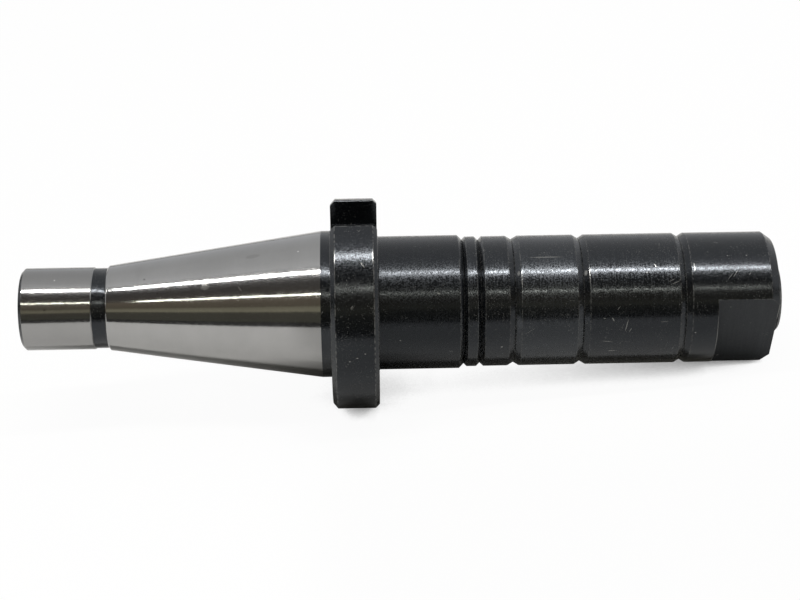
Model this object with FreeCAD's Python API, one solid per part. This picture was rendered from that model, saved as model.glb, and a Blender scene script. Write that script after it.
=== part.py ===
import FreeCAD, Part
import math
import os

# Stub milling arbor with a 7:24 spindle taper, four spacing collars, a feather key and a nut.
# Millimetres. X runs along the axis from the small end to the nut, Z points at one drive slot,
# and the origin is the centre of the taper's gauge plane.

# Spindle taper, size 40
GAUGE_D = 44.45
TAPER_RATE = 7 / 24
TAPER_LENGTH = 65.4
TAPER_BEVEL = (0.5, 0.4)
GROUND_END = 1.7

# Pilot and the groove between pilot and taper
PILOT_D = 24.65
PILOT_LENGTH = 21.6
PILOT_BEVEL = 1.0
GROOVE_LENGTH = 4.0
GROOVE_D = 24.0
GROOVE_BEVEL = 0.3

# Flange with two drive slots. Each bevel is its (length along X, depth).
FLANGE_FACE = 1.2
FLANGE_D = 63.0
FLANGE_LENGTH = 13.85
FLANGE_REAR_BEVEL = (1.4, 1.65)
FLANGE_FRONT_BEVEL = (1.2, 1.2)
NECK_D = 43.9
SLOT_WIDTH = 16.1
SLOT_FLOOR = 22.5

# Shoulder that the collars are clamped against
SHOULDER_D = 40.0
SHOULDER_LENGTH = 25.15
SHOULDER_FILLET = 0.5
SHOULDER_BEVEL = 1.2

# Collar seat
SEAT_D = 27.0
SEAT_SHORT_OF_STACK = 2.0
SEAT_BEVEL = 1.0
SEAT_RELIEF_LENGTH = 2.0
SEAT_RELIEF_DEPTH = 0.3

# Metric thread of stub and nut, both drawn at the pitch diameter
THREAD_D = 24.0
THREAD_PITCH = 2.0
PITCH_LINE_DEPTH = 0.6495
THREAD_GROOVE_LENGTH = 3.0
THREAD_GROOVE_D = 20.6
THREAD_BEVEL = 1.5
THREAD_CLEARANCE = 0.03
STUB_PAST_NUT = 2.1
CENTRE_DRILL_D = 4.0
CENTRE_DRILL_DEPTH = 6.0
CENTRE_MOUTH_D = 9.0
CENTRE_ANGLE = 60.0

# Drawbar hole in the small end
DRAWBAR_CORE_D = 14.0
DRAWBAR_MOUTH_D = 17.0
DRAWBAR_MOUTH_DEPTH = 6.0
DRAWBAR_DEPTH = 48.0
DRILL_POINT_ANGLE = 118.0

# Feather key and its ways
KEY_WIDTH = 7.0
KEY_HEIGHT = 7.0
KEY_LENGTH = 56.0
KEY_START = 2.5
KEYWAY_FLOOR = 8.5
KEY_SEAT_CLEARANCE = 0.03
KEY_SIDE_CLEARANCE = 0.05
COLLAR_KEYWAY_TOP = 16.3

# Spacing collars
COLLAR_D = 39.0
COLLAR_CLEARANCE = 0.03
COLLAR_BORE_BEVEL = 0.5
BEVEL_STEEP = (1.75, 1.05)
BEVEL_EVEN = (1.1, 1.1)
COLLARS = {
    "collar_5mm": (5.0, BEVEL_EVEN, BEVEL_EVEN),
    "collar_10mm": (10.0, BEVEL_EVEN, BEVEL_STEEP),
    "collar_20mm": (20.0, BEVEL_STEEP, BEVEL_STEEP),
    "collar_30mm": (30.0, BEVEL_STEEP, BEVEL_STEEP),
}

# Arbor nut
NUT_D = 39.0
NUT_LENGTH = 27.5
NUT_END_BEVEL = (2.6, 1.9)
NUT_RECESS_D = 27.4
NUT_RECESS_DEPTH = 3.0
NUT_BORE_BEVEL = 1.0
NUT_COLLAR_LENGTH = 9.2
NUT_ACROSS_FLATS = 27.0
NUT_FLAT_TILT = 20.0

# How far each cutting shape reaches past the face that it opens
OVERSHOOT = 1.0

ORIGIN = FreeCAD.Vector(0, 0, 0)
X_AXIS = FreeCAD.Vector(1, 0, 0)

# Places along X that follow from the sizes above
groove_start = -TAPER_LENGTH - GROOVE_LENGTH
small_end = groove_start - PILOT_LENGTH
flange_front = FLANGE_FACE + FLANGE_LENGTH
shoulder_face = flange_front + SHOULDER_LENGTH
stack_end = shoulder_face + sum(width for width, _, _ in COLLARS.values())
seat_end = stack_end - SEAT_SHORT_OF_STACK
thread_start = seat_end + THREAD_GROOVE_LENGTH
nut_end = stack_end + NUT_LENGTH
stub_end = nut_end + STUB_PAST_NUT
thread_radius = (THREAD_D - PITCH_LINE_DEPTH * THREAD_PITCH) / 2


def taper_radius(x):
    """Radius of the 7:24 taper at x."""
    return (GAUGE_D + TAPER_RATE * x) / 2


def turned(outline):
    """Solid turned about the X axis from a closed outline of (x, radius) points."""
    corners = [FreeCAD.Vector(x, 0, radius) for x, radius in outline]
    return Part.Face(Part.makePolygon(corners + corners[:1])).revolve(ORIGIN, X_AXIS, 360)


def block(x, y, z):
    """Box from three (low, high) pairs."""
    corner = FreeCAD.Vector(x[0], y[0], z[0])
    return Part.makeBox(x[1] - x[0], y[1] - y[0], z[1] - z[0], corner)


def feather(width, length, bottom, top):
    """Round-ended bar that lies along X on the side of the seat."""
    start = shoulder_face + KEY_START
    half = width / 2
    bar = block((start + half, start + length - half), (-half, half), (bottom, top))
    for x in (start + half, start + length - half):
        bar = bar.fuse(Part.makeCylinder(half, top - bottom, FreeCAD.Vector(x, 0, bottom)))
    return bar.removeSplitter()


def shank_outline():
    """Pilot, groove, taper and neck, from the small end to the flange."""
    pilot = PILOT_D / 2
    groove = GROOVE_D / 2
    neck = NECK_D / 2
    return [
        (small_end, 0),
        (small_end, pilot - PILOT_BEVEL),
        (small_end + PILOT_BEVEL, pilot),
        (groove_start - GROOVE_BEVEL, pilot),
        (groove_start, groove),
        (-TAPER_LENGTH, groove),
        (-TAPER_LENGTH, taper_radius(-TAPER_LENGTH) - TAPER_BEVEL[1]),
        (-TAPER_LENGTH + TAPER_BEVEL[0], taper_radius(-TAPER_LENGTH + TAPER_BEVEL[0])),
        (-GROUND_END, taper_radius(-GROUND_END)),
        (-GROUND_END, neck),
        (FLANGE_FACE, neck),
    ]


def flange_outline():
    """Flange and the shoulder in front of it."""
    flange = FLANGE_D / 2
    shoulder = SHOULDER_D / 2
    return [
        (FLANGE_FACE, flange - FLANGE_REAR_BEVEL[1]),
        (FLANGE_FACE + FLANGE_REAR_BEVEL[0], flange),
        (flange_front - FLANGE_FRONT_BEVEL[0], flange),
        (flange_front, flange - FLANGE_FRONT_BEVEL[1]),
        (flange_front, shoulder),
        (shoulder_face - SHOULDER_BEVEL, shoulder),
        (shoulder_face, shoulder - SHOULDER_BEVEL),
    ]


def shaft_outline():
    """Collar seat, thread groove and threaded stub."""
    seat = SEAT_D / 2
    relief = seat - SEAT_RELIEF_DEPTH
    groove = THREAD_GROOVE_D / 2
    return [
        (shoulder_face, relief),
        (shoulder_face + SEAT_RELIEF_LENGTH, relief),
        (shoulder_face + SEAT_RELIEF_LENGTH + SEAT_RELIEF_DEPTH, seat),
        (seat_end - SEAT_BEVEL, seat),
        (seat_end, seat - SEAT_BEVEL),
        (seat_end, groove),
        (thread_start + groove - thread_radius, groove),
        (thread_start, thread_radius),
        (stub_end - THREAD_BEVEL, thread_radius),
        (stub_end, thread_radius - THREAD_BEVEL),
        (stub_end, 0),
    ]


def fillet_ring(x, radius, size):
    """Ring that rounds the inner corner between a cylinder and the face at x, ahead of it."""
    low = FreeCAD.Vector(x, 0, radius)
    high = FreeCAD.Vector(x, 0, radius + size)
    out = FreeCAD.Vector(x + size, 0, radius)
    bend = size * (1 - math.sqrt(0.5))
    middle = FreeCAD.Vector(x + bend, 0, radius + bend)
    sides = [Part.makeLine(low, high), Part.Arc(high, middle, out).toShape(), Part.makeLine(out, low)]
    return Part.Face(Part.Wire(sides)).revolve(ORIGIN, X_AXIS, 360)


def drawbar_hole():
    """Stepped and tapped hole in the small end, with the drill's conical bottom."""
    core = DRAWBAR_CORE_D / 2
    mouth = DRAWBAR_MOUTH_D / 2
    mouth_end = small_end + DRAWBAR_MOUTH_DEPTH
    core_end = small_end + DRAWBAR_DEPTH
    return turned([
        (small_end - OVERSHOOT, 0),
        (small_end - OVERSHOOT, mouth),
        (mouth_end, mouth),
        (mouth_end + (mouth - core) / math.tan(math.radians(CENTRE_ANGLE / 2)), core),
        (core_end, core),
        (core_end + core / math.tan(math.radians(DRILL_POINT_ANGLE / 2)), 0),
    ])


def centre_hole():
    """Lathe centre in the stub's end."""
    drill = CENTRE_DRILL_D / 2
    mouth = CENTRE_MOUTH_D / 2
    cone = (mouth - drill) / math.tan(math.radians(CENTRE_ANGLE / 2))
    bottom = stub_end - CENTRE_DRILL_DEPTH
    return turned([
        (stub_end + OVERSHOOT, 0),
        (stub_end + OVERSHOOT, mouth),
        (stub_end, mouth),
        (stub_end - cone, drill),
        (bottom, drill),
        (bottom - drill / math.tan(math.radians(DRILL_POINT_ANGLE / 2)), 0),
    ])


def arbor_body():
    """The one-piece arbor."""
    body = turned(shank_outline() + flange_outline() + shaft_outline())
    body = body.fuse(fillet_ring(flange_front, SHOULDER_D / 2, SHOULDER_FILLET))
    width = SLOT_WIDTH / 2
    run = (FLANGE_FACE - OVERSHOOT, flange_front + OVERSHOOT)
    for depth in ((SLOT_FLOOR, FLANGE_D), (-FLANGE_D, -SLOT_FLOOR)):
        body = body.cut(block(run, (-width, width), depth))
    keyway = feather(KEY_WIDTH + 2 * KEY_SEAT_CLEARANCE, KEY_LENGTH, KEYWAY_FLOOR, SEAT_D)
    return body.cut(keyway).cut(drawbar_hole()).cut(centre_hole())


def drive_key():
    """Feather key, seated on the floor of the arbor's keyway."""
    return feather(KEY_WIDTH, KEY_LENGTH, KEYWAY_FLOOR, KEYWAY_FLOOR + KEY_HEIGHT)


def collar(start, width, rear_bevel, front_bevel):
    """Spacing collar with a keyway, its rear face at start."""
    end = start + width
    outer = COLLAR_D / 2
    bore = SEAT_D / 2 + COLLAR_CLEARANCE
    mouth = bore + COLLAR_BORE_BEVEL
    ring = turned([
        (start, mouth),
        (start, outer - rear_bevel[1]),
        (start + rear_bevel[0], outer),
        (end - front_bevel[0], outer),
        (end, outer - front_bevel[1]),
        (end, mouth),
        (end - COLLAR_BORE_BEVEL, bore),
        (start + COLLAR_BORE_BEVEL, bore),
    ])
    way = KEY_WIDTH / 2 + KEY_SIDE_CLEARANCE
    return ring.cut(block((start - OVERSHOOT, end + OVERSHOOT), (-way, way), (0, COLLAR_KEYWAY_TOP)))


def arbor_nut():
    """Round nut with a plain collar end, a recess over the seat and two wrench flats."""
    outer = NUT_D / 2
    bore = thread_radius + THREAD_CLEARANCE
    recess = NUT_RECESS_D / 2
    recess_end = stack_end + NUT_RECESS_DEPTH
    nut = turned([
        (stack_end, recess),
        (stack_end, outer - BEVEL_STEEP[1]),
        (stack_end + BEVEL_STEEP[0], outer),
        (nut_end - NUT_END_BEVEL[0], outer),
        (nut_end, outer - NUT_END_BEVEL[1]),
        (nut_end, bore + NUT_BORE_BEVEL),
        (nut_end - NUT_BORE_BEVEL, bore),
        (recess_end + recess - bore, bore),
        (recess_end, recess),
    ])
    flat = NUT_ACROSS_FLATS / 2
    run = (stack_end + NUT_COLLAR_LENGTH, nut_end + OVERSHOOT)
    for side in ((-NUT_D, -flat), (flat, NUT_D)):
        chip = block(run, side, (-NUT_D, NUT_D))
        chip.rotate(ORIGIN, X_AXIS, NUT_FLAT_TILT)
        nut = nut.cut(chip)
    return nut


nodes = {"arbor_body": arbor_body(), "drive_key": drive_key()}
place = shoulder_face
for name, (width, rear_bevel, front_bevel) in COLLARS.items():
    nodes[name] = collar(place, width, rear_bevel, front_bevel)
    place += width
nodes["arbor_nut"] = arbor_nut()

os.makedirs("parts", exist_ok=True)
for name, shape in nodes.items():
    shape.exportStep(f"parts/{name}.step")
    print(name, shape.isValid(), len(shape.Solids), round(shape.Volume, 1), shape.BoundBox)
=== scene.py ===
# %% [markdown]
# This lesson dresses a short milling arbor: a tool holder with a steep ground taper that sits in a
# milling machine's spindle, a slotted flange that the spindle drives, and a keyed seat on which a
# nut clamps spacing collars and a cutter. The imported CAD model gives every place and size, and the
# lesson builds the surfaces that a camera sees, with fine edges, real threads and worn finishes.

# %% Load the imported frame
import math
import bpy
import bmesh
import numpy as np
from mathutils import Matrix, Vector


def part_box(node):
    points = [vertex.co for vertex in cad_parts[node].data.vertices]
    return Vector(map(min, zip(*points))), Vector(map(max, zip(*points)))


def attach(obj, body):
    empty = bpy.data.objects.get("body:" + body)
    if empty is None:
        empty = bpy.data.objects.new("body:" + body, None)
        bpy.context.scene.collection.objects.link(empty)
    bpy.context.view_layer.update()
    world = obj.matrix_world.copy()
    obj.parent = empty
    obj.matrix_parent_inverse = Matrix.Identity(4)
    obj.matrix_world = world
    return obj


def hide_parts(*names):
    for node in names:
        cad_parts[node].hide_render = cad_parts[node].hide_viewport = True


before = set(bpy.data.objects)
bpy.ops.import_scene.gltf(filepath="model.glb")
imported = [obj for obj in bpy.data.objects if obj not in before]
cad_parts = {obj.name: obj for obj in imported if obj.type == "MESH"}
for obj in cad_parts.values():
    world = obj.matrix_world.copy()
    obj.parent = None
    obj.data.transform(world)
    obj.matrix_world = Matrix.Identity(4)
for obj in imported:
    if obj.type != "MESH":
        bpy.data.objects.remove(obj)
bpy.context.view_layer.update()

MM = 0.001
print("CAD nodes:", sorted(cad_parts))

# %% [markdown]
# The camera comes first, because every later choice is judged through it. The photograph was taken
# with a long lens from the operator's side, looking down at the arbor by about 29 degrees. The
# numbers come from fitting the outlines of taper, flange and collars.

# %% Camera
camera_data = bpy.data.cameras.new("camera")
camera_data.lens = 86.49
camera_data.sensor_width = 36
camera_data.clip_end = 50
camera = bpy.data.objects.new("camera", camera_data)
camera.location = (0.01173, -0.50549, 0.28053)
camera.rotation_euler = [math.radians(angle) for angle in (61.0501, 0.4545, -1.3779)]
bpy.context.scene.collection.objects.link(camera)
bpy.context.scene.camera = camera
bpy.context.scene.view_settings.view_transform = "Standard"
print("camera stands", round(camera.location.length, 3), "m from the gauge plane")

# %% [markdown]
# Every part of an arbor is turned, so every surface here is a profile carried round the X axis.
# Angles are counted about +X from straight up. What makes a turned surface look real is its edges,
# so each profile gets extra rows beside its corners, and an attribute named edge is 1 on a corner
# and 0 on those rows. The materials use it to wear the edges bright.

# %% Profiles
EDGE_REACH = 0.35
CORNER = 1.0
PLAIN = 0.0


def round_x(x, radius, angle):
    """Points on circles round the X axis: y is minus radius times sine of the angle, z is radius times its cosine."""
    x, radius, angle = np.broadcast_arrays(x, radius, angle)
    return np.stack([x, -radius * np.sin(angle), radius * np.cos(angle)], axis=-1)


def with_edge_rows(corners, reach=EDGE_REACH):
    """Profile rows (x, radius, edge) with a plain row beside each worn corner, on the same straight run.

    The plain row lies at the distance reach from its corner, or at a third of a run that is short.
    """
    corners = np.asarray(corners, float)
    rows = [corners[:1]]
    for start, end in zip(corners[:-1], corners[1:]):
        run = np.hypot(*(end[:2] - start[:2]))
        if run > 1e-6:
            share = min(reach / run, 1 / 3)
            near = [[*(start[:2] + share * (end[:2] - start[:2])), PLAIN]] if start[2] > 0 else []
            far = [[*(end[:2] + share * (start[:2] - end[:2])), PLAIN]] if end[2] > 0 else []
            rows.append(np.array(near + far).reshape(-1, 3))
        rows.append(end[None])
    return np.concatenate(rows)


def fractions(count, edge=0.0):
    """Shares from 0 to 1 for count steps. With an edge share, one more step lies that near to either end."""
    steps = np.linspace(0, 1, count + 1)
    return np.unique(np.concatenate([steps, [edge, 1 - edge]])) if edge else steps


# %% [markdown]
# A finished piece is several grids of points that share their borders. They are put into one mesh,
# the borders are merged, and a Bevel modifier rounds each sharp edge by a tenth of a millimetre,
# which is what catches the light on real turned steel.

# %% Joining grids into a piece
EDGE_ROUND = 0.1 * MM
FLAT_ANGLE = math.radians(28)


def grid_faces(rows, columns, first):
    """Quads of a grid whose points are numbered row by row from first."""
    index = first + np.arange(rows * columns).reshape(rows, columns)
    return np.stack([index[:-1, :-1], index[:-1, 1:], index[1:, 1:], index[1:, :-1]], axis=-1).reshape(-1, 4)


def rounded(mesh, width):
    """The mesh with its sharp edges rounded by a Bevel modifier, which is then applied."""
    carrier = bpy.data.objects.new("carrier", mesh)
    bpy.context.scene.collection.objects.link(carrier)
    bevel = carrier.modifiers.new("edge", "BEVEL")
    bevel.width = width
    bevel.segments = 2
    bevel.limit_method = "ANGLE"
    bevel.angle_limit = FLAT_ANGLE
    evaluated = carrier.evaluated_get(bpy.context.evaluated_depsgraph_get())
    finished = bpy.data.meshes.new_from_object(evaluated)
    bpy.data.objects.remove(carrier)
    return finished


def make_piece(name, grids, body, node, materials, round_edges=EDGE_ROUND):
    """One closed mesh from grids of (points in millimetres, edge values)."""
    points, edges, faces, first = [], [], [], 0
    for grid, edge in grids:
        rows, columns = grid.shape[:2]
        points.append(grid.reshape(-1, 3) * MM)
        edges.append(np.broadcast_to(edge, (rows, columns)).ravel())
        faces.append(grid_faces(rows, columns, first))
        first += rows * columns
    mesh = bpy.data.meshes.new(name)
    mesh.from_pydata(np.concatenate(points), [], np.concatenate(faces).tolist())
    attribute = mesh.attributes.new("edge", "FLOAT", "POINT")
    attribute.data.foreach_set("value", np.concatenate(edges).astype(np.float32))
    work = bmesh.new()
    work.from_mesh(mesh)
    bmesh.ops.remove_doubles(work, verts=work.verts, dist=2e-7)
    bmesh.ops.dissolve_degenerate(work, edges=work.edges, dist=1e-8)
    bmesh.ops.recalc_face_normals(work, faces=work.faces)
    open_edges = sum(1 for edge in work.edges if len(edge.link_faces) != 2)
    work.to_mesh(mesh)
    work.free()
    if round_edges:
        mesh = rounded(mesh, round_edges)
    mesh.name = name
    mesh.shade_smooth()
    mesh.set_sharp_from_angle(angle=FLAT_ANGLE)
    mesh.materials.clear()
    for material in materials:
        mesh.materials.append(material)
    piece = bpy.data.objects.new(name, mesh)
    bpy.context.scene.collection.objects.link(piece)
    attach(piece, body)
    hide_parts(node)
    print(name, len(mesh.polygons), "faces,", open_edges, "open edges")
    return piece


def face_centres(piece):
    """Middles of a piece's faces in millimetres."""
    centres = np.zeros(len(piece.data.polygons) * 3, np.float32)
    piece.data.polygons.foreach_get("center", centres)
    return centres.reshape(-1, 3) / MM


def second_material(piece, chosen, label):
    """Gives the chosen faces the piece's second material."""
    piece.data.polygons.foreach_set("material_index", chosen.astype(np.int32))
    print(label, int(chosen.sum()))


# %% [markdown]
# The finishes share their effects as node groups: grain that a lathe or grinding wheel leaves round
# the axis, cloudy stains from handling, the sand of an etched surface, scratches, single marks, and
# wear along the edges. All read Object coordinates, some of them unrolled from the axis into
# millimetres along and around, so the patterns stay put at the same scale on every piece.

# %% Node helpers
def new_group(name, numbers, outputs):
    """Node group with float inputs given as name: default, and named outputs. Returns group, inputs, outputs."""
    group = bpy.data.node_groups.new(name, "ShaderNodeTree")
    for label, value in numbers.items():
        socket = group.interface.new_socket(label, in_out="INPUT", socket_type="NodeSocketFloat")
        socket.default_value = value
    for label in outputs:
        group.interface.new_socket(label, in_out="OUTPUT", socket_type="NodeSocketFloat")
    return group, group.nodes.new("NodeGroupInput"), group.nodes.new("NodeGroupOutput")


def link(tree, source, target):
    """Joins an output to an input of the same tree."""
    tree.links.new(source, target)


def maths(tree, operation, first, second=None, clamp=False):
    """Math node. Each value is a number or an output."""
    node = tree.nodes.new("ShaderNodeMath")
    node.operation = operation
    node.use_clamp = clamp
    for socket, value in zip(node.inputs, (first, second)):
        if isinstance(value, bpy.types.NodeSocket):
            link(tree, value, socket)
        elif value is not None:
            socket.default_value = value
    return node.outputs[0]


def between(tree, value, low, high, to_low=0.0, to_high=1.0):
    """Smooth step of a value from low to high."""
    node = tree.nodes.new("ShaderNodeMapRange")
    node.interpolation_type = "SMOOTHSTEP"
    link(tree, value, node.inputs["Value"])
    for label, number in (("From Min", low), ("From Max", high), ("To Min", to_low), ("To Max", to_high)):
        if isinstance(number, bpy.types.NodeSocket):
            link(tree, number, node.inputs[label])
        else:
            node.inputs[label].default_value = number
    return node.outputs["Result"]


def stretched(tree, along, across):
    """Object coordinates times along on X and across on Y and Z."""
    place = tree.nodes.new("ShaderNodeTexCoord")
    scale = tree.nodes.new("ShaderNodeCombineXYZ")
    for socket, value in zip(scale.inputs, (along, across, across)):
        if isinstance(value, bpy.types.NodeSocket):
            link(tree, value, socket)
        else:
            socket.default_value = value
    product = tree.nodes.new("ShaderNodeVectorMath")
    product.operation = "MULTIPLY"
    link(tree, place.outputs["Object"], product.inputs[0])
    link(tree, scale.outputs[0], product.inputs[1])
    return product.outputs[0]


def noise(tree, vector, scale=1.0, detail=3.0, roughness=0.5):
    """Noise texture's value."""
    node = tree.nodes.new("ShaderNodeTexNoise")
    link(tree, vector, node.inputs["Vector"])
    node.inputs["Scale"].default_value = scale
    node.inputs["Detail"].default_value = detail
    node.inputs["Roughness"].default_value = roughness
    return node.outputs[0]


# %% Unrolled surface
unrolled_group, unrolled_in, unrolled_out = new_group("unrolled", {}, ["Along", "Around"])
place = unrolled_group.nodes.new("ShaderNodeTexCoord")
split = unrolled_group.nodes.new("ShaderNodeSeparateXYZ")
link(unrolled_group, place.outputs["Object"], split.inputs[0])
y_squared, z_squared = (maths(unrolled_group, "POWER", split.outputs[axis], 2.0) for axis in "YZ")
from_axis = maths(unrolled_group, "SQRT", maths(unrolled_group, "ADD", y_squared, z_squared))
towards_viewer = maths(unrolled_group, "MULTIPLY", split.outputs["Y"], -1.0)
turn_angle = maths(unrolled_group, "ARCTAN2", towards_viewer, split.outputs["Z"])
link(unrolled_group, maths(unrolled_group, "MULTIPLY", split.outputs["X"], 1000.0), unrolled_out.inputs["Along"])
arc = maths(unrolled_group, "MULTIPLY", turn_angle, from_axis)
link(unrolled_group, maths(unrolled_group, "MULTIPLY", arc, 1000.0), unrolled_out.inputs["Around"])

# %% Grain round the axis, clouds and sand
grain_group, grain_in, grain_out = new_group(
    "turned_grain", {"Along": 9000.0, "Around": 60.0}, ["Grain", "Clouds", "Sand"])
ring_space = stretched(grain_group, grain_in.outputs["Along"], grain_in.outputs["Around"])
rings = noise(grain_group, ring_space, 1.0, 2.0, 0.6)
link(grain_group, rings, grain_out.inputs["Grain"])
link(grain_group, noise(grain_group, stretched(grain_group, 120.0, 90.0), 1.0, 4.0, 0.55), grain_out.inputs["Clouds"])
link(grain_group, noise(grain_group, stretched(grain_group, 2000.0, 2000.0), 1.0, 2.0, 0.6), grain_out.inputs["Sand"])

# %% Wear along edges
wear_group, wear_in, wear_out = new_group("edge_wear", {"Amount": 0.7, "Spots": 900.0}, ["Mask"])
edge_value = wear_group.nodes.new("ShaderNodeAttribute")
edge_value.attribute_name = "edge"
spots = noise(wear_group, stretched(wear_group, wear_in.outputs["Spots"], wear_in.outputs["Spots"]), 1.0, 3.0, 0.7)
broken = between(wear_group, spots, 0.4, 0.6)
worn = maths(wear_group, "MULTIPLY", between(wear_group, edge_value.outputs["Fac"], 0.15, 0.9), broken)
link(wear_group, maths(wear_group, "MULTIPLY", worn, wear_in.outputs["Amount"], clamp=True), wear_out.inputs["Mask"])

# %% One mark
mark_numbers = {
    "Along": 0.0, "Around": 0.0, "X": 0.0, "Arc": 0.0, "Length": 2.0, "Width": 0.2, "Tilt": 0.0, "Strength": 1.0,
}
mark_group, mark_in, mark_out = new_group("mark", mark_numbers, ["Mask"])
off_x = maths(mark_group, "SUBTRACT", mark_in.outputs["Along"], mark_in.outputs["X"])
off_arc = maths(mark_group, "SUBTRACT", mark_in.outputs["Around"], mark_in.outputs["Arc"])
cosine = maths(mark_group, "COSINE", mark_in.outputs["Tilt"])
sine = maths(mark_group, "SINE", mark_in.outputs["Tilt"])
lengthwise = maths(mark_group, "ADD", maths(mark_group, "MULTIPLY", off_x, cosine),
                   maths(mark_group, "MULTIPLY", off_arc, sine))
sideways = maths(mark_group, "SUBTRACT", maths(mark_group, "MULTIPLY", off_arc, cosine),
                 maths(mark_group, "MULTIPLY", off_x, sine))
ellipse = maths(mark_group, "ADD",
                maths(mark_group, "POWER", maths(mark_group, "DIVIDE", lengthwise, mark_in.outputs["Length"]), 2.0),
                maths(mark_group, "POWER", maths(mark_group, "DIVIDE", sideways, mark_in.outputs["Width"]), 2.0))
ragged = noise(mark_group, stretched(mark_group, 1500.0, 1500.0), 1.0, 2.0, 0.7)
shape = between(mark_group, maths(mark_group, "MULTIPLY", ellipse, maths(mark_group, "ADD", ragged, 0.5)), 0.6, 0.15)
link(mark_group, maths(mark_group, "MULTIPLY", shape, mark_in.outputs["Strength"]), mark_out.inputs["Mask"])

# %% Stray scratches and specks
scratch_group, scratch_in, scratch_out = new_group(
    "scratches", {"Amount": 0.5, "Thin": 0.01, "Seed": 0.0}, ["Mask", "Specks"])
sheet = scratch_group.nodes.new("ShaderNodeGroup")
sheet.node_tree = unrolled_group


def scratch_family(tilt, seed):
    """Nearly straight lines in the unrolled surface: where a noise that is stretched 25 to 1 passes its middle."""
    flat_x, flat_y = sheet.outputs["Along"], sheet.outputs["Around"]
    cosine, sine = math.cos(tilt), math.sin(tilt)
    forward = maths(scratch_group, "ADD", maths(scratch_group, "MULTIPLY", flat_x, cosine),
                    maths(scratch_group, "MULTIPLY", flat_y, sine))
    aside = maths(scratch_group, "SUBTRACT", maths(scratch_group, "MULTIPLY", flat_y, cosine),
                  maths(scratch_group, "MULTIPLY", flat_x, sine))
    plane = scratch_group.nodes.new("ShaderNodeCombineXYZ")
    link(scratch_group, maths(scratch_group, "MULTIPLY", forward, 0.04), plane.inputs[0])
    link(scratch_group, aside, plane.inputs[1])
    link(scratch_group, maths(scratch_group, "ADD", scratch_in.outputs["Seed"], seed), plane.inputs[2])
    wavy = noise(scratch_group, plane.outputs[0], 1.0, 0.0)
    off_middle = maths(scratch_group, "ABSOLUTE", maths(scratch_group, "SUBTRACT", wavy, 0.5))
    spread = scratch_group.nodes.new("ShaderNodeVectorMath")
    spread.operation = "ADD"
    link(scratch_group, stretched(scratch_group, 420.0, 420.0), spread.inputs[0])
    spread.inputs[1].default_value = (seed * 5.0, seed * 3.0, seed)
    here = between(scratch_group, noise(scratch_group, spread.outputs[0], 1.0, 1.0), 0.68, 0.74)
    return maths(scratch_group, "MULTIPLY", between(scratch_group, off_middle, scratch_in.outputs["Thin"], 0.0), here)


lines = maths(scratch_group, "MAXIMUM", scratch_family(0.35, 3.1), scratch_family(-0.9, 7.7))
link(scratch_group, maths(scratch_group, "MULTIPLY", lines, scratch_in.outputs["Amount"]), scratch_out.inputs["Mask"])
fine_noise = noise(scratch_group, stretched(scratch_group, 2600.0, 2600.0), 1.0, 1.0, 0.6)
wide_noise = noise(scratch_group, stretched(scratch_group, 130.0, 130.0), 1.0, 2.0)
dots = between(scratch_group, fine_noise, 0.62, 0.74)
dirt = between(scratch_group, wide_noise, 0.42, 0.62, 0.3, 1.0)
link(scratch_group, maths(scratch_group, "MULTIPLY", dots, dirt), scratch_out.inputs["Specks"])
print("node groups:", [group.name for group in bpy.data.node_groups])

# %% [markdown]
# Ground steel is bright and only slightly rough, and its grain of fine rings scatters light along
# the arbor. Its tone drifts a little in clouds where oil and fingers have been. The blackened steel
# is a thin dark oxide with a blue cast over the same turned grain, glossy enough to show the lamps
# as narrow stripes, and its edges are rubbed through to bare metal. In the photograph the pieces
# mirror the lamps more or less strongly, so each has an index of refraction and a roughness of its
# own. These were fitted and aren't measured values of the oxide. Marks could be painted in a
# picture, but a table of ellipses stays sharp and can be read and moved.

# %% Finishes
SMALL_END = -91.0
GROOVE = (-69.4, -65.4)


def placed(tree, group, **values):
    """Group node with its own values."""
    node = tree.nodes.new("ShaderNodeGroup")
    node.node_tree = group
    for label, value in values.items():
        node.inputs[label].default_value = value
    return node


def mixed(tree, share, first, second):
    """Colour mixed from first to second by a share. Each colour is three numbers or an output."""
    node = tree.nodes.new("ShaderNodeMix")
    node.data_type = "RGBA"
    link(tree, share, node.inputs[0])
    for socket, colour in ((node.inputs[6], first), (node.inputs[7], second)):
        if isinstance(colour, bpy.types.NodeSocket):
            link(tree, colour, socket)
        else:
            socket.default_value = (*colour, 1.0)
    return node.outputs[2]


def new_finish(name, metallic, roughness):
    """Material with an empty tree but for its Principled shader."""
    material = bpy.data.materials.new(name)
    material.use_nodes = True
    shader = material.node_tree.nodes["Principled BSDF"]
    shader.inputs["Metallic"].default_value = metallic
    shader.inputs["Roughness"].default_value = roughness
    return material, material.node_tree, shader


def bumped(tree, shader, height, distance, strength=1.0):
    """Bump from a height output, distance in metres."""
    bump = tree.nodes.new("ShaderNodeBump")
    bump.inputs["Distance"].default_value = distance
    bump.inputs["Strength"].default_value = strength
    link(tree, height, bump.inputs["Height"])
    link(tree, bump.outputs[0], shader.inputs["Normal"])


def marked(tree, table, ragged_mask=None):
    """Mask of single marks, each (x, degrees, radius, length, width, tilt in degrees, strength) in millimetres."""
    sheet = placed(tree, unrolled_group)
    mask = ragged_mask
    for x, degrees, radius, length, width, tilt, strength in table:
        mark = placed(
            tree, mark_group, X=x, Arc=math.radians(degrees) * radius, Length=length, Width=width,
            Tilt=math.radians(tilt), Strength=strength)
        link(tree, sheet.outputs["Along"], mark.inputs["Along"])
        link(tree, sheet.outputs["Around"], mark.inputs["Around"])
        mask = mark.outputs["Mask"] if mask is None else maths(tree, "MAXIMUM", mask, mark.outputs["Mask"])
    return mask


# Pilot grey: partly a duller grind, partly painted shade that darkens the pilot's mirror image of the room.
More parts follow.
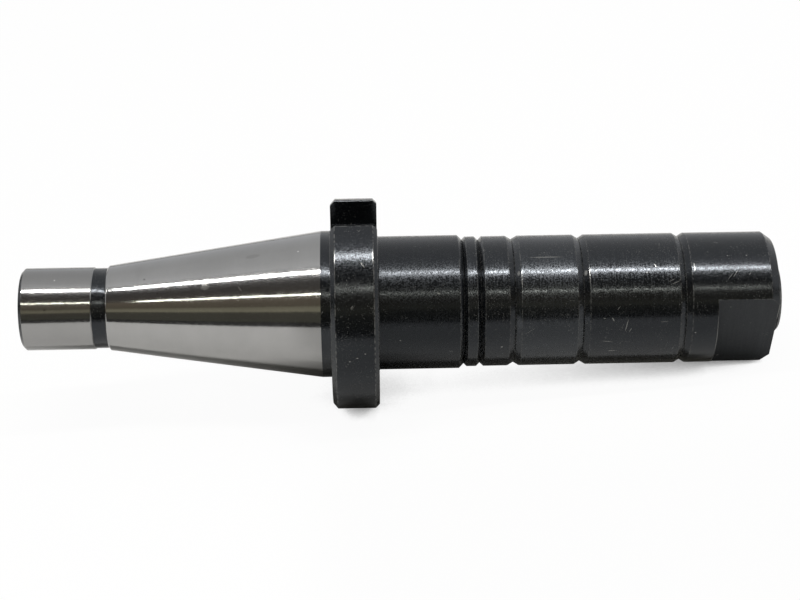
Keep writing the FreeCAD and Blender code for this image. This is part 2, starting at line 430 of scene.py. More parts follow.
PILOT_DULL_AND_SHADE_GREY = (0.2, 0.2, 0.198)
STAIN_GREY = (0.14, 0.137, 0.13)
SCRATCHED_STEEL = (0.8, 0.8, 0.78)
WORN_STEEL = (0.36, 0.36, 0.35)
OXIDE_TINT = (0.0022, 0.0027, 0.0034)


def ground_steel(name, dark, light, rough_low, rough_high, dull=(), bright=(), pilot_dull_and_shade=0.0, sand=0.000004):
    """Ground steel, drifting from dark to light in clouds. A share greys and roughens the pilot; its grey is partly a
    duller grind and partly painted shade that darkens the pilot's mirror image of the room.
    """
    material, tree, shader = new_finish(name, 1.0, rough_low)
    grain = placed(tree, grain_group, Along=3000.0, Around=30.0)
    sheet = placed(tree, unrolled_group)
    tone = maths(tree, "ADD", maths(tree, "MULTIPLY", grain.outputs["Grain"], 0.15),
                 maths(tree, "MULTIPLY", grain.outputs["Clouds"], 0.85))
    colour = mixed(tree, between(tree, tone, 0.3, 0.7), dark, light)
    # The pilot is greyed here: partly a duller grind, partly painted shade on its mirror image of the room.
    pilot_dull_and_shade_share = between(tree, sheet.outputs["Along"], GROOVE[1], GROOVE[0], 0.0, pilot_dull_and_shade)
    colour = mixed(tree, pilot_dull_and_shade_share, colour, PILOT_DULL_AND_SHADE_GREY)
    if dull:
        colour = mixed(tree, marked(tree, dull), colour, STAIN_GREY)
    if bright:
        colour = mixed(tree, marked(tree, bright), colour, SCRATCHED_STEEL)
    link(tree, colour, shader.inputs["Base Color"])
    sandy = between(tree, grain.outputs["Sand"], 0.4, 0.6, rough_low, rough_high)
    worn = between(tree, sheet.outputs["Along"], GROOVE[1], GROOVE[0], 0.0, pilot_dull_and_shade * 0.08)
    link(tree, maths(tree, "ADD", sandy, worn), shader.inputs["Roughness"])
    bumped(tree, shader, grain.outputs["Sand"], sand)
    return material


def blackened_steel(name, ior, wear, sand, streaky, rough_low, rough_high, seed=0.0, specks=0.2, bright=()):
    """Black oxide on turned steel, rubbed bright along the edges. Sand is its etched grain's height in metres."""
    material, tree, shader = new_finish(name, 0.0, 0.25)
    shader.inputs["IOR"].default_value = ior
    shader.inputs["Specular Tint"].default_value = (0.93, 1.0, 1.1, 1.0)
    grain = placed(tree, grain_group, Along=2600.0, Around=60.0)
    edge = placed(tree, wear_group, Amount=wear)
    scratch = placed(tree, scratch_group, Amount=0.4, Thin=0.012, Seed=seed)
    few_specks = maths(tree, "MULTIPLY", scratch.outputs["Specks"], specks)
    stray = maths(tree, "MAXIMUM", scratch.outputs["Mask"], few_specks)
    bare = maths(tree, "MAXIMUM", edge.outputs["Mask"], marked(tree, bright, stray) if bright else stray)
    dark = [channel * 0.7 for channel in OXIDE_TINT]
    oxide = mixed(tree, between(tree, grain.outputs["Clouds"], 0.35, 0.65), dark, OXIDE_TINT)
    link(tree, mixed(tree, bare, oxide, WORN_STEEL), shader.inputs["Base Color"])
    link(tree, bare, shader.inputs["Metallic"])
    streaks = maths(tree, "ADD", maths(tree, "MULTIPLY", grain.outputs["Grain"], streaky),
                    maths(tree, "MULTIPLY", grain.outputs["Sand"], 1 - streaky))
    link(tree, between(tree, streaks, 0.4, 0.6, rough_low, rough_high), shader.inputs["Roughness"])
    bumped(tree, shader, grain.outputs["Sand"], sand)
    return material


# The pilot's share of 0.4 roughens it and greys it; the grey is partly a duller grind and partly painted shade.
shank_steel = ground_steel(
    "ground_shank_steel", (0.34, 0.34, 0.338), (0.365, 0.365, 0.363), 0.055, 0.13, pilot_dull_and_shade=0.4,
    dull=[
        (-83.0, 62.5, 12.3, 0.5, 0.4, 0, 1.0), (-21.7, 12.2, 19.0, 3.4, 1.4, 0, 0.2),
        (-53.6, 26.5, 14.4, 0.5, 0.4, 0, 0.7), (-22.8, 39.5, 18.9, 0.4, 0.3, 0, 0.8),
        (-49.6, 45.8, 15.0, 0.4, 0.3, 0, 0.8),
    ],
    bright=[
        (-80.4, 18.0, 12.3, 0.4, 0.3, 0, 0.5), (-35.5, 41.6, 17.1, 2.0, 1.5, 10, 0.8),
        (-25.2, 46.0, 18.5, 1.5, 0.25, 56, 0.9), (-12.0, 38.0, 20.4, 0.9, 0.2, 40, 0.7),
        (-46.4, 40.8, 15.4, 0.5, 0.4, 0, 0.9), (-8.2, 13.5, 21.0, 0.4, 0.3, 0, 0.8),
    ],
)
seat_steel = ground_steel("ground_seat_steel", (0.38, 0.38, 0.37), (0.42, 0.42, 0.41), 0.2, 0.26, sand=0.000001)
key_steel = ground_steel("drawn_key_steel", (0.42, 0.42, 0.41), (0.48, 0.48, 0.47), 0.25, 0.3, sand=0.000001)
flange_black = blackened_steel(
    "flange_black", 1.47, 0.3, 0.000022, 0.1, 0.11, 0.26, seed=2.0, specks=0.2,
    bright=[
        (10.7, 40.8, 31.5, 1.5, 0.25, 58, 0.8), (2.6, 36.0, 31.5, 0.25, 4.0, 0, 0.8),
        (13.6, 36.0, 31.5, 0.25, 3.6, 0, 0.6), (8.7, 91.0, 31.5, 0.4, 0.3, 0, 0.7),
        (6.5, 93.0, 31.5, 0.4, 0.3, 0, 0.6), (11.0, 88.5, 31.5, 0.35, 0.3, 0, 0.7),
    ],
)
shoulder_black = blackened_steel(
    "shoulder_black", 1.43, 0.15, 0.000012, 0.2, 0.14, 0.32, seed=3.0, specks=0.08,
    bright=[
        (21.3, 94.8, 20.0, 0.4, 0.3, 0, 0.5),
    ],
)
collar_black = blackened_steel(
    "collar_black", 1.48, 0.13, 0.000014, 0.35, 0.105, 0.29, seed=0.0, specks=0.24,
    bright=[
        (76.95, 40.0, 19.5, 0.22, 4.4, 0, 0.8), (75.9, 37.0, 18.9, 0.7, 1.2, 0, 0.5),
        (87.5, 85.0, 19.5, 0.2, 3.0, 12, 0.5), (82.0, 101.0, 19.5, 2.6, 0.2, 8, 0.4),
        (51.1, 105.2, 19.5, 0.5, 0.4, 0, 0.6), (96.3, 32.0, 19.5, 1.2, 0.2, 65, 0.9),
        (93.8, 38.5, 19.5, 0.5, 0.2, -20, 0.7), (102.0, 48.0, 19.5, 1.8, 0.15, -20, 0.6),
        (100.8, 46.0, 19.5, 1.5, 0.12, -25, 0.5), (83.6, 112.8, 19.5, 1.8, 0.2, 0, 0.6),
        (85.1, 69.2, 19.5, 1.0, 0.15, -45, 0.5), (98.5, 82.0, 19.5, 1.8, 0.12, 0, 0.35),
        (88.6, 89.5, 19.5, 1.3, 0.15, -60, 0.5), (83.5, 79.2, 19.5, 0.9, 0.3, 60, 0.7),
        (81.0, 78.0, 19.5, 0.6, 0.2, 10, 0.6),
    ],
)
glossy_collar_black = blackened_steel(
    "glossy_collar_black", 1.57, 0.13, 0.000014, 0.35, 0.12, 0.33, seed=1.0, specks=0.24,
    bright=[
        (57.1, 43.0, 19.5, 0.2, 4.2, 0, 0.6), (56.2, 37.0, 18.9, 0.6, 1.1, 0, 0.4),
        (64.6, 21.0, 19.5, 7.0, 0.2, 0, 0.5), (59.2, 89.0, 19.5, 2.6, 0.12, -35, 0.35),
    ],
)
nut_black = blackened_steel(
    "nut_black", 1.46, 0.15, 0.000018, 0.2, 0.13, 0.26, seed=5.0, specks=0.16,
    bright=[
        (107.7, 34.0, 19.5, 0.22, 2.2, 0, 0.7), (114.3, 97.0, 19.5, 0.18, 10.0, 0, 0.4),
        (119.6, 41.0, 19.5, 2.0, 0.12, -55, 0.5), (118.0, 43.5, 19.5, 1.8, 0.12, -50, 0.4),
        (107.8, 93.2, 19.5, 0.4, 0.3, 0, 0.6), (123.4, 23.2, 19.5, 0.3, 0.25, 0, 0.6),
        (117.8, 23.0, 19.5, 0.3, 0.25, 0, 0.5),
    ],
)
flat_black = blackened_steel(
    "flat_black", 1.5, 0.15, 0.000004, 0.5, 0.5, 0.58, seed=6.0, specks=0.05,
    bright=[
        (132.65, 80.0, 15.6, 0.25, 1.3, 0, 0.5),
    ],
)
stub_black = blackened_steel("stub_black", 1.4, 0.4, 0.000006, 0.3, 0.3, 0.42)
print("finishes:", [material.name for material in bpy.data.materials if material.users])

# %% [markdown]
# A screw thread is a wave round the axis. Its crest is where the place along the axis, counted in
# pitches, is level with the turn, so a right-hand thread climbs along +X as the angle grows.

# %% Thread wave
def thread_height(x, angle, pitch):
    """Height from 0 at the root to 1 at the crest of a 60 degree V, both cut flat by a sixth of the pitch."""
    phase = (x / pitch - angle / (2 * np.pi)) % 1
    return np.clip((np.abs(2 * phase - 1) - 0.16) / 0.68, 0, 1)


# %% [markdown]
# The shank is one turned bar: a pilot, a groove that is left black, and the ground taper. The small
# end holds the drawbar's threaded hole. The profile starts on the axis behind the hole's drill
# point, runs out of the hole, over the small end and up the taper, and closes on the axis again.

# %% Shank
SHANK_COLUMNS = 160
TAPER_END = -1.7
GAUGE_RADIUS = 22.225
DRAWBAR_PITCH = 2.0


def taper_radius(x):
    """Radius of a taper of 7 in 24 on the diameter."""
    return GAUGE_RADIUS + x * 7 / 48


hole = with_edge_rows([(-38.8, 0, PLAIN), (-43, 7.05, PLAIN)])
tapped_x = np.linspace(-43.0, -82.4, int(39.4 / DRAWBAR_PITCH * 12))
tapped = np.stack([tapped_x, np.full_like(tapped_x, 7.05), np.zeros_like(tapped_x)], axis=-1)
outside = with_edge_rows([
    (-82.4, 7.05, PLAIN), (-85, 8.5, PLAIN), (SMALL_END, 8.5, CORNER),
    (SMALL_END, 11.325, CORNER), (SMALL_END + 1, 12.325, CORNER), (GROOVE[0] - 0.3, 12.325, CORNER),
    (GROOVE[0], 12.0, PLAIN), (GROOVE[1], 12.0, PLAIN), (GROOVE[1], taper_radius(GROOVE[1]) - 0.4, PLAIN),
    (GROOVE[1] + 0.5, taper_radius(GROOVE[1] + 0.5), PLAIN), (TAPER_END, taper_radius(TAPER_END), PLAIN),
    (TAPER_END, 0, PLAIN),
])
shank_rows = np.concatenate([hole, tapped, outside])
turn = np.linspace(0, 2 * np.pi, SHANK_COLUMNS + 1)
in_thread = (shank_rows[:, 0] < -43.5) & (shank_rows[:, 0] > -82) & (shank_rows[:, 1] < 7.1)
cut = in_thread[:, None] * (1 - thread_height(shank_rows[:, :1], turn, DRAWBAR_PITCH))
shank_points = round_x(shank_rows[:, :1], shank_rows[:, 1:2] + 1.0 * cut, turn)
shank = make_piece(
    "ground_shank", [(shank_points, shank_rows[:, 2:])], "arbor", "arbor_body",
    [shank_steel, flange_black], round_edges=0.06 * MM,
)

# %% [markdown]
# The grinding wheel reaches neither the groove nor the hole nor the small end's face, so these keep
# the black oxide. They could be pieces of their own, but one mesh with two materials has no seam.

# %% Black groove of the shank
centres = face_centres(shank)
x_mm, radius_mm = centres[:, 0], np.hypot(centres[:, 1], centres[:, 2])
in_groove = (x_mm > GROOVE[0] - 0.05) & (x_mm < GROOVE[1] + 0.1) & (radius_mm > 11)
in_hole = ((radius_mm < 8.4) & (x_mm < -38)) | (x_mm < SMALL_END + 0.97)
second_material(shank, in_groove | in_hole, "black faces on the shank:")

# %% [markdown]
# The flange is turned too, but two drive slots cross it. A slot's walls stand at fixed distances
# from the middle plane, so the columns of points beside a slot follow asin(half width / radius).
# Then the walls, the floor and the turned faces meet point to point, and no boolean is needed.

# %% Flange, neck and shoulder
SLOT_HALF = 8.05
SLOT_FLOOR = 22.5
SLOT_BREAK = 0.4
FLANGE_X = (1.2, 15.05)
FLANGE_RADIUS = 31.5
SHOULDER_FACE = 40.2
slot_corner = math.hypot(SLOT_FLOOR, SLOT_HALF)
NECK_RADIUS = 21.95
behind = with_edge_rows([
    (-2.5, 0, PLAIN), (-2.5, 21.5, PLAIN), (TAPER_END, NECK_RADIUS, PLAIN), (FLANGE_X[0], NECK_RADIUS, PLAIN),
])
rim = with_edge_rows([
    (FLANGE_X[0], slot_corner, PLAIN), (FLANGE_X[0], 29.85, CORNER), (FLANGE_X[0] + 1.4, FLANGE_RADIUS, CORNER),
    (FLANGE_X[1] - 1.2, FLANGE_RADIUS, CORNER), (FLANGE_X[1], 30.3, CORNER), (FLANGE_X[1], slot_corner, PLAIN),
])
bend = np.radians(np.linspace(0, 90, 5))
fillet = np.stack([FLANGE_X[1] + 0.5 - 0.5 * np.cos(bend), 20.5 - 0.5 * np.sin(bend), 0 * bend], axis=-1)
ahead = np.concatenate([fillet, with_edge_rows([
    (FLANGE_X[1] + 0.5, 20, PLAIN), (SHOULDER_FACE - 1.2, 20, CORNER), (SHOULDER_FACE, 18.8, CORNER),
    (SHOULDER_FACE, 0, PLAIN),
])])


def slot_half(radius):
    """Half width of the slot: constant, but wider by the broken edge on the rim."""
    return np.where(radius > 29.6, SLOT_HALF + SLOT_BREAK, SLOT_HALF)


def slot_angle(radius):
    """Angle from the slot's middle to its wall at a radius: the arc sine of half width over radius."""
    return np.arcsin(slot_half(radius) / np.maximum(radius, 18))


def flange_grids():
    """Two turned sides, two slot strips and four walls."""
    grids = []
    rows = np.concatenate([behind, rim, ahead])
    side = fractions(60, 0.004)
    for middle in (np.pi / 2, 3 * np.pi / 2):
        reach = np.pi / 2 - slot_angle(rows[:, 1:2])
        angle = middle + reach * (2 * side - 1)
        edge = np.maximum(rows[:, 2:], 0 * side)
        by_wall = (rows[:, 1:2] > slot_corner) & ((side == 0) | (side == 1))
        grids.append((round_x(rows[:, :1], rows[:, 1:2], angle), np.maximum(edge, by_wall)))
    across = fractions(14)
    outline_x = rim[rim[:, 1] >= 29.5][:, 0]
    for middle, up in ((0.0, 1), (np.pi, -1)):
        angle = slot_angle(behind[:, 1:2]) * (2 * across - 1)
        rear = round_x(behind[:, :1], behind[:, 1:2], middle + angle)
        angle = slot_angle(ahead[:, 1:2]) * (2 * across - 1)
        front = round_x(ahead[:, :1], ahead[:, 1:2], middle + angle)
        y = -up * SLOT_HALF * (2 * across - 1)
        floor_x, floor_y = np.broadcast_arrays(outline_x[:, None], y)
        floor = np.stack([floor_x, floor_y, np.full_like(floor_x, up * SLOT_FLOOR)], axis=-1)
        strip = np.concatenate([rear, floor, front])
        ends = np.zeros((len(strip), 1))
        ends[len(rear)] = ends[len(rear) + len(floor) - 1] = 0.7
        grids.append((strip, ends))
        outline = rim[rim[:, 1] >= 29.5]
        radii = np.stack([np.full(len(outline), slot_corner), outline[:, 1] - EDGE_REACH, outline[:, 1]], axis=-1)
        half = np.full_like(radii, SLOT_HALF)
        half[:, 2] = slot_half(radii[:, 2])
        height = up * np.sqrt(radii ** 2 - half ** 2)
        for side_of_slot in (-1, 1):
            x = np.broadcast_to(outline[:, :1], height.shape)
            grids.append((np.stack([x, side_of_slot * half, height], axis=-1), np.array([0, 0, 1.0])))
    return grids


flange = make_piece(
    "drive_flange", flange_grids(), "arbor", "arbor_body", [flange_black, shoulder_black])

# %% [markdown]
# In the photograph the shoulder mirrors the room more evenly than the flange's rim, as if it had
# been turned finer. A second black material with less grain shows it.

# %% Finer finish of the shoulder
second_material(flange, face_centres(flange)[:, 0] > FLANGE_X[1] + 0.1, "faces of the shoulder:")

# %% [markdown]
# Under the collars the arbor has a ground seat with a feather key, and ahead of it the threaded
# stub. They show when the nut is backed off, so they are finished as the rest.

# %% Collar seat
SEAT_RADIUS = 13.5
SEAT_END = 103.2
THREAD_GROOVE = 10.3
seat_rows = with_edge_rows([
    (39.6, 0, PLAIN), (39.6, 13.1, PLAIN), (SHOULDER_FACE, 13.2, PLAIN), (42.2, 13.2, PLAIN),
    (42.5, SEAT_RADIUS, PLAIN), (SEAT_END - 1, SEAT_RADIUS, CORNER), (SEAT_END, SEAT_RADIUS - 1, CORNER),
    (SEAT_END, THREAD_GROOVE, PLAIN), (SEAT_END, 0, PLAIN),
])
turn = np.linspace(0, 2 * np.pi, 129)
seat = make_piece(
    "collar_seat", [(round_x(seat_rows[:, :1], seat_rows[:, 1:2], turn), seat_rows[:, 2:])],
    "arbor", "arbor_body", [seat_steel],
)

# %% [markdown]
# The stub's thread could be a bump in its material, but its outline shows past the nut. So the grid
# has fourteen rows to a pitch and the thread wave moves its points, shallower where the ends taper.

# %% Threaded stub
STUB_END = 134.8
THREAD_START = 106.2
NUT_PITCH = 2.0
STUB_ROOT = 10.74
STUB_CREST = 11.9
thread_x = np.arange(THREAD_START, STUB_END, NUT_PITCH / 14)
cone = np.minimum(STUB_CREST, STUB_END - thread_x + 10.0)
start_cone = np.minimum(STUB_CREST, THREAD_GROOVE + (thread_x - THREAD_START) * 1.5)
wave = STUB_ROOT + (STUB_CREST - STUB_ROOT) * thread_height(thread_x[:, None], turn, NUT_PITCH)
thread_radius = np.minimum(np.minimum(wave, cone[:, None]), start_cone[:, None])
before = np.array([(102.8, 0), (102.8, THREAD_GROOVE), (104.5, THREAD_GROOVE), (THREAD_START - 0.01, THREAD_GROOVE)])
after = np.array([
    (STUB_END, 9.95), (STUB_END, 4.5), (STUB_END - 4.33, 2.0), (STUB_END - 6, 2.0), (STUB_END - 7.2, 0),
])
stub_points = np.concatenate([
    round_x(before[:, :1], before[:, 1:], turn),
    round_x(thread_x[:, None], thread_radius, turn),
    round_x(after[:, :1], after[:, 1:], turn),
])
stub_edge = np.zeros((len(stub_points), len(turn)))
stub_edge[len(before):-len(after)] = thread_height(thread_x[:, None], turn, NUT_PITCH) > 0.98
stub = make_piece("threaded_stub", [(stub_points, stub_edge)], "arbor", "arbor_body", [stub_black], 0)

# %% [markdown]
# The feather key is a bar with round ends, whose outline is the offset of the line between its two
# end centres. Carried down from the top with its edges broken, it closes on that line.

# %% Feather key
low, high = (np.array(corner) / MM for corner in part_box("drive_key"))
key_half = (high[1] - low[1]) / 2
key_ends = (low[0] + key_half, high[0] - key_half)


def key_outline(half, columns=24):
    """Closed outline round the key's middle line at the distance half."""
    bend = np.linspace(-np.pi / 2, np.pi / 2, columns)
    front = np.stack([key_ends[1] + half * np.cos(bend), half * np.sin(bend)], axis=-1)
    rear = np.stack([key_ends[0] - half * np.cos(bend), -half * np.sin(bend)], axis=-1)
    return np.concatenate([front, rear, front[:1]])


key_levels = [
    (low[2], 0.0, 0), (low[2], key_half - 0.3, 0), (low[2] + 0.3, key_half, 0), (high[2] - 0.6, key_half, 0),
    (high[2] - 0.25, key_half, 1), (high[2], key_half - 0.25, 1), (high[2], key_half - 0.7, 0), (high[2], 0.0, 0),
]
key_points = np.stack([
    np.concatenate([key_outline(half), np.full((49, 1), z)], axis=1) for z, half, _ in key_levels
])
key_edge = np.array([edge for _, _, edge in key_levels], float)[:, None]
key = make_piece("feather_key", [(key_points, key_edge)], "arbor", "drive_key", [key_steel], 0)

# %% [markdown]
# A spacing collar is a ring with a keyway. As with the flange's slots, the columns beside the
# keyway follow the arc sine of its half width over the radius, so its walls stay flat.

# %% Spacing collars
KEYWAY_HALF = 3.55
KEYWAY_TOP = 16.3
BORE = 13.53
BORE_MOUTH = 14.03
COLLAR_RADIUS = 19.5
keyway_corner = math.hypot(KEYWAY_TOP, KEYWAY_HALF)


def collar_grids(start, end, rear, front):
    """Ring from its outer and inner profiles, a strip over the keyway with its top, and two walls."""
    outer = with_edge_rows([
        (start, keyway_corner, PLAIN), (start, COLLAR_RADIUS - rear[1], CORNER),
        (start + rear[0], COLLAR_RADIUS, CORNER), (end - front[0], COLLAR_RADIUS, CORNER),
        (end, COLLAR_RADIUS - front[1], CORNER), (end, keyway_corner, PLAIN),
    ])
    inner = np.array([(end, BORE_MOUTH, 0), (end - 0.5, BORE, 0), (start + 0.5, BORE, 0), (start, BORE_MOUTH, 0)])
    ring = np.concatenate([outer, inner, outer[:1]])
    side = fractions(112)
    half = np.arcsin(KEYWAY_HALF / ring[:, 1:2])
    grids = [(round_x(ring[:, :1], ring[:, 1:2], half + (2 * np.pi - 2 * half) * side), ring[:, 2:])]
    across = fractions(8)
    arc = outer[1:-1]
    half = np.arcsin(KEYWAY_HALF / arc[:, 1:2])
    over = round_x(arc[:, :1], arc[:, 1:2], half * (2 * across - 1))
    top_x = np.concatenate([[end], inner[1:-1, 0], [start]])[:, None]
    y = KEYWAY_HALF * (1 - 2 * across)
    top = np.stack(np.broadcast_arrays(top_x, y, KEYWAY_TOP), axis=-1)
    strip = np.concatenate([top[-1:], over, top])
    edge = np.concatenate([[0], arc[:, 2], np.zeros(len(top))])[:, None]
    grids.append((strip, edge))
    height = np.stack([np.sqrt(inner[:, 1] ** 2 - KEYWAY_HALF ** 2), np.full(len(inner), KEYWAY_TOP)], axis=-1)
    x = np.broadcast_to(inner[:, :1], height.shape)
    for wall in (-KEYWAY_HALF, KEYWAY_HALF):
        grids.append((np.stack([x, np.full_like(x, wall), height], axis=-1), 0.0))
    return grids


STEEP = (1.75, 1.05)
EVEN = (1.1, 1.1)
collars = [
    ("collar_5mm", "collar_5", EVEN, EVEN, collar_black),
    ("collar_10mm", "collar_10", EVEN, STEEP, collar_black),
    ("collar_20mm", "collar_20", STEEP, STEEP, glossy_collar_black),
    ("collar_30mm", "collar_30", STEEP, STEEP, collar_black),
]
for node, body, rear, front, black in collars:
    low, high = (np.array(corner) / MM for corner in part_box(node))
    make_piece(f"spacing_{node}", collar_grids(low[0], high[0], rear, front), body, node, [black])

# %% [markdown]
# The nut is turned, with two wrench flats milled on its front part. On a flat the radius is the
# distance of the flat over the cosine of the angle from its normal, and the flat's borders are where
# that radius meets the round. Inside, the nut carries the same thread as the stub, a little wider.

# %% Arbor nut
low, high = (np.array(corner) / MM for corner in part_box("arbor_nut"))
NUT_START, NUT_END = low[0], high[0]
FLAT_START = NUT_START + 9.2
FLAT_DISTANCE = 13.5
FLAT_NORMAL = np.radians(90 + 20.0)
NUT_RADIUS = 19.5
NUT_CREST = 10.95
NUT_ROOT = 12.06
RECESS_RADIUS = 13.7
NUT_REAR_BEVEL = (1.75, 1.05)
NUT_FRONT_BEVEL = (2.6, 1.9)


def flat_half_angle(radius):
    """Angle from a flat's normal to its border: the arc cosine of the flat's distance over the radius."""
    return np.arccos(FLAT_DISTANCE / np.clip(radius, 17.6, NUT_RADIUS))


def nut_grids():
    """Four grids of the turned rows: one over each flat and one over each round side between the flats.

    Over a flat the radius is the flat's distance over the cosine of the angle from its normal. The rows at the
    flat's start repeat, so that they can step down the wall behind the flat with a plain row by either corner.
    """
    round_part = with_edge_rows([
        (NUT_START, RECESS_RADIUS, PLAIN), (NUT_START, NUT_RADIUS - NUT_REAR_BEVEL[1], CORNER),
        (NUT_START + NUT_REAR_BEVEL[0], NUT_RADIUS, CORNER), (FLAT_START, NUT_RADIUS, CORNER),
    ])
    flat_part = with_edge_rows([
        (FLAT_START, NUT_RADIUS, CORNER), (NUT_END - NUT_FRONT_BEVEL[0], NUT_RADIUS, CORNER),
        (NUT_END, NUT_RADIUS - NUT_FRONT_BEVEL[1], CORNER),
    ])
    flat_part[0, 2] = PLAIN
    flat_part = np.concatenate([flat_part[:1], flat_part[:1], flat_part])
    face = np.array([(NUT_END, NUT_ROOT + 0.3, 0), (NUT_END - 1.4, NUT_CREST, 0)])
    bore_x = np.arange(NUT_END - 1.4, NUT_START + 5.5, -NUT_PITCH / 14)
    bore = np.stack([bore_x, np.full_like(bore_x, NUT_CREST), np.zeros_like(bore_x)], axis=-1)
    recess = np.array([
        (NUT_START + 5.4, NUT_CREST, 0), (NUT_START + 3, RECESS_RADIUS, 0), (NUT_START, RECESS_RADIUS, 0),
    ])
    rows = np.concatenate([round_part, flat_part, face, bore, recess])
    is_flat = np.zeros(len(rows), bool)
    is_flat[len(round_part):len(round_part) + len(flat_part)] = True
    is_bore = np.zeros(len(rows), bool)
    is_bore[-len(bore) - 3:-3] = True
    grids = []
    for normal in (FLAT_NORMAL, FLAT_NORMAL + np.pi):
        for over_flat in (True, False):
            share = fractions(28 if over_flat else 36, 0.012)
            half = flat_half_angle(rows[:, 1:2])
            if over_flat:
                angle = normal + half * (2 * share - 1)
            else:
                angle = normal + half + (np.pi - 2 * half) * share
            radius = np.repeat(rows[:, 1:2], len(share), axis=1)
            if over_flat:
                chord = FLAT_DISTANCE / np.cos(angle - normal)
                radius = np.where(is_flat[:, None], chord, radius)
                wall = len(round_part)
                radius[wall] = np.maximum(radius[wall], NUT_RADIUS - EDGE_REACH)
                radius[wall + 1] = np.minimum(radius[wall + 1] + EDGE_REACH, radius[wall])
            cut = 1 - thread_height(rows[:, :1], angle, NUT_PITCH)
            radius = radius + np.where(is_bore[:, None], (NUT_ROOT - NUT_CREST) * cut, 0)
            edge = np.repeat(rows[:, 2:], len(share), axis=1)
            border = (share == 0) | (share == 1)
            if over_flat:
                edge[is_flat & (rows[:, 0] < NUT_END - 0.1)] = 0
                edge[is_flat] = np.maximum(edge[is_flat], border)
            else:
                edge[len(round_part) - 1] = 0
                beside_flat = is_flat & (rows[:, 0] > FLAT_START)
                edge[beside_flat] = np.maximum(edge[beside_flat], border)
            grids.append((round_x(rows[:, :1], radius, angle), edge))
    return grids


nut = make_piece("clamping_nut", nut_grids(), "nut", "arbor_nut", [nut_black, flat_black])

# %% [markdown]
# A flat shows no stripe, because all of it faces the same way and mirrors only the sheet near the
# arbor. Its even grey in the photograph asked for a rougher finish, which suits a milled face but
# was fitted to that grey. A face lies on a flat when its middle is as far from the axis along the normal.

# %% Milled finish of the flats
centres = face_centres(nut)
height = np.abs(centres[:, 1] * -math.sin(FLAT_NORMAL) + centres[:, 2] * math.cos(FLAT_NORMAL))
on_flat = (np.abs(height - FLAT_DISTANCE) < 0.01) & (centres[:, 0] > FLAT_START)
second_material(nut, on_flat, "faces of the flats:")

# %% [markdown]
# The arbor lies on a plain white sheet, on the lower edges of its flange and on the nut's rim, so
# the sheet slopes by about five degrees in the arbor's frame. The photograph's white is burnt out:
# the sheet is lifted where the camera sees it straight, and the steel still mirrors plain paper.
# A faint contact shade, from Ambient Occlusion, keeps the arbor from floating. The sheet's grey
# changes with place, and so does the depth of that shade. Both were fitted to the mirror images in
# the photograph and stand in for light that this simple room lacks: real paper is one white.

# %% Floor
REST_FLANGE = (13.85, -30.454)
REST_NUT = (NUT_END - NUT_FRONT_BEVEL[0], -NUT_RADIUS)
SHEET_REACH = 3.0
CONTACT_SHADE_REACH = 0.02
slope = math.atan2(REST_NUT[1] - REST_FLANGE[1], REST_NUT[0] - REST_FLANGE[0])
span = np.array([-SHEET_REACH, SHEET_REACH])
floor_x, floor_y = np.meshgrid(span, span, indexing="ij")
floor_z = REST_FLANGE[1] * MM + np.tan(slope) * (floor_x - REST_FLANGE[0] * MM)
floor_mesh = bpy.data.meshes.new("floor")
floor_mesh.from_pydata(np.stack([floor_x, floor_y, floor_z], axis=-1).reshape(-1, 3), [], [(0, 2, 3, 1)])
floor = bpy.data.objects.new("floor", floor_mesh)
bpy.context.scene.collection.objects.link(floor)
paper = bpy.data.materials.new("white_sheet")
paper.use_nodes = True
tree = paper.node_tree
tree.nodes.remove(tree.nodes["Principled BSDF"])
sheet = tree.nodes.new("ShaderNodeBsdfDiffuse")
near = tree.nodes.new("ShaderNodeTexCoord")
depth = tree.nodes.new("ShaderNodeSeparateXYZ")
link(tree, near.outputs["Object"], depth.inputs[0])
shade = tree.nodes.new("ShaderNodeAmbientOcclusion")
shade.inputs["Distance"].default_value = CONTACT_SHADE_REACH
shade.samples = 16
grey = between(tree, depth.outputs["X"], -0.02, 0.01, 0.71, 0.49)
white = between(tree, depth.outputs["Y"], -0.065, -0.012, grey, 0.69)
white = maths(tree, "MULTIPLY", white, between(tree, depth.outputs["Y"], -0.305, -0.23, 0.08, 1.0))
depth_of_shade = between(tree, depth.outputs["X"], 0.02, 0.08, 1.1, 0.2)
lost = maths(tree, "MULTIPLY", maths(tree, "SUBTRACT", 1.0, shade.outputs["AO"]), depth_of_shade)
link(tree, maths(tree, "MULTIPLY", white, maths(tree, "SUBTRACT", 1.0, lost, clamp=True)), sheet.inputs["Color"])
lift = tree.nodes.new("ShaderNodeEmission")
link(tree, maths(tree, "MULTIPLY", shade.outputs["AO"], 3.2, clamp=True), lift.inputs["Strength"])
seen = tree.nodes.new("ShaderNodeLightPath")
share = maths(tree, "MULTIPLY", seen.outputs["Is Camera Ray"], 0.96)
blend = tree.nodes.new("ShaderNodeMixShader")
link(tree, share, blend.inputs[0])
link(tree, sheet.outputs[0], blend.inputs[1])
link(tree, lift.outputs[0], blend.inputs[2])
link(tree, blend.outputs[0], tree.nodes["Material Output"].inputs["Surface"])
floor_mesh.materials.append(paper)
print("floor slopes by", round(math.degrees(slope), 2), "degrees")

# %% [markdown]
# Polished metal shows only what stands round it. Straight above the arbor hangs a long soft lamp,
# which makes the bright stripe, and in front of it a thin warm tube, which makes the faint one. Both
# are short enough for the flange to shade the sheet sharply, as the steel's mirror images show.

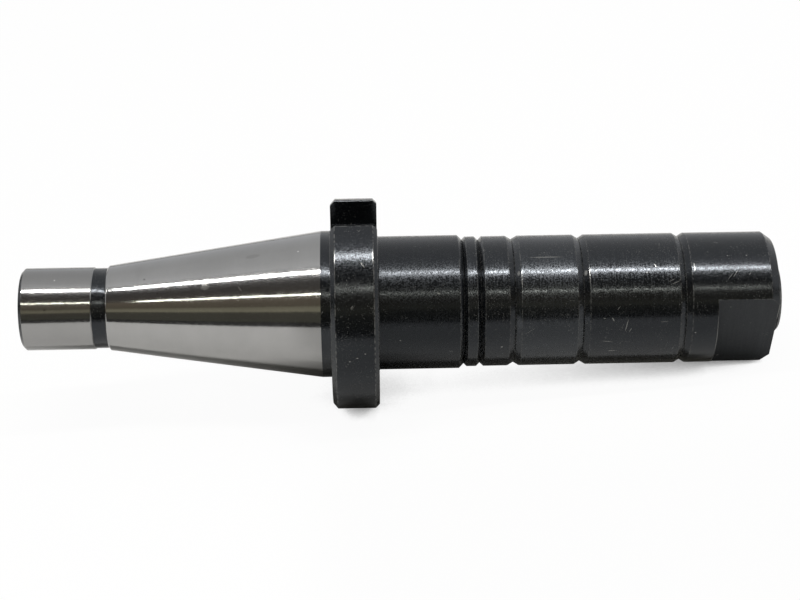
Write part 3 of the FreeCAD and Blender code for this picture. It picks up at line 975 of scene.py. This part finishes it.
# %% Lamps
def strip_lamp(name, elevation, distance, width, ends, power, colour):
    """Lamp parallel to the arbor from one x to another. Its elevation counts from the camera's side over the top."""
    data = bpy.data.lights.new(name, "AREA")
    data.shape = "RECTANGLE"
    data.size = ends[1] - ends[0]
    data.size_y = width
    data.energy = power
    data.color = colour
    lamp = bpy.data.objects.new(name, data)
    angle = math.radians(elevation)
    lamp.location = (sum(ends) / 2, -distance * math.cos(angle), distance * math.sin(angle))
    lamp.rotation_euler = (math.pi / 2 - angle, 0, 0)
    lamp.visible_camera = False
    bpy.context.scene.collection.objects.link(lamp)
    return lamp


strip_lamp("lamp_above", 80.3, 1.2, 0.078, (-0.75, 0.7), 15.2, (1.0, 0.985, 0.955))
strip_lamp("lamp_front", 44.3, 1.5, 0.025, (-0.85, 0.55), 2.5, (1.0, 0.98, 0.84))

# %% [markdown]
# The room in front is dim, with one pale shelf of light, and the wall behind is bright, so the steel
# turns dark towards the camera. A photograph of a room would do this too, but a ramp over the angle
# round the arbor's axis says it in fourteen colours, fitted to what the steel shows. The
# camera itself sees a plain white backdrop.

# %% Room
world = bpy.data.worlds.new("room")
bpy.context.scene.world = world
world.use_nodes = True
tree = world.node_tree
place = tree.nodes.new("ShaderNodeTexCoord")
split = tree.nodes.new("ShaderNodeSeparateXYZ")
link(tree, place.outputs["Generated"], split.inputs[0])
turned = maths(tree, "ARCTAN2", split.outputs["Z"], maths(tree, "MULTIPLY", split.outputs["Y"], -1.0))
ramp = tree.nodes.new("ShaderNodeValToRGB")
link(tree, maths(tree, "DIVIDE", turned, math.pi), ramp.inputs[0])
stops = [
    (0.0, (0.10, 0.098, 0.08)), (0.09, (0.105, 0.10, 0.08)), (0.10, (0.37, 0.345, 0.25)),
    (0.138, (0.28, 0.262, 0.19)), (0.148, (0.165, 0.142, 0.105)), (0.225, (0.19, 0.16, 0.12)),
    (0.26, (0.095, 0.086, 0.075)), (0.36, (0.095, 0.09, 0.083)), (0.42, (0.17, 0.165, 0.16)),
    (0.48, (0.55, 0.55, 0.55)), (0.52, (0.86, 0.86, 0.86)), (0.6, (0.76, 0.76, 0.76)),
    (0.75, (0.68, 0.68, 0.68)), (1.0, (0.68, 0.69, 0.71)),
]
while len(ramp.color_ramp.elements) < len(stops):
    ramp.color_ramp.elements.new(0.5)
for element, (position, colour) in zip(ramp.color_ramp.elements, stops):
    element.position = position
    element.color = (*colour, 1)
room_light = tree.nodes["Background"]
link(tree, ramp.outputs[0], room_light.inputs[0])
backdrop = tree.nodes.new("ShaderNodeBackground")
backdrop.inputs[0].default_value = (0.96, 0.96, 0.96, 1)
seen = tree.nodes.new("ShaderNodeLightPath")
blend = tree.nodes.new("ShaderNodeMixShader")
link(tree, seen.outputs["Is Camera Ray"], blend.inputs[0])
link(tree, room_light.outputs[0], blend.inputs[1])
link(tree, backdrop.outputs[0], blend.inputs[2])
link(tree, blend.outputs[0], tree.nodes["World Output"].inputs["Surface"])
print("lamps:", [light.name for light in bpy.data.lights])
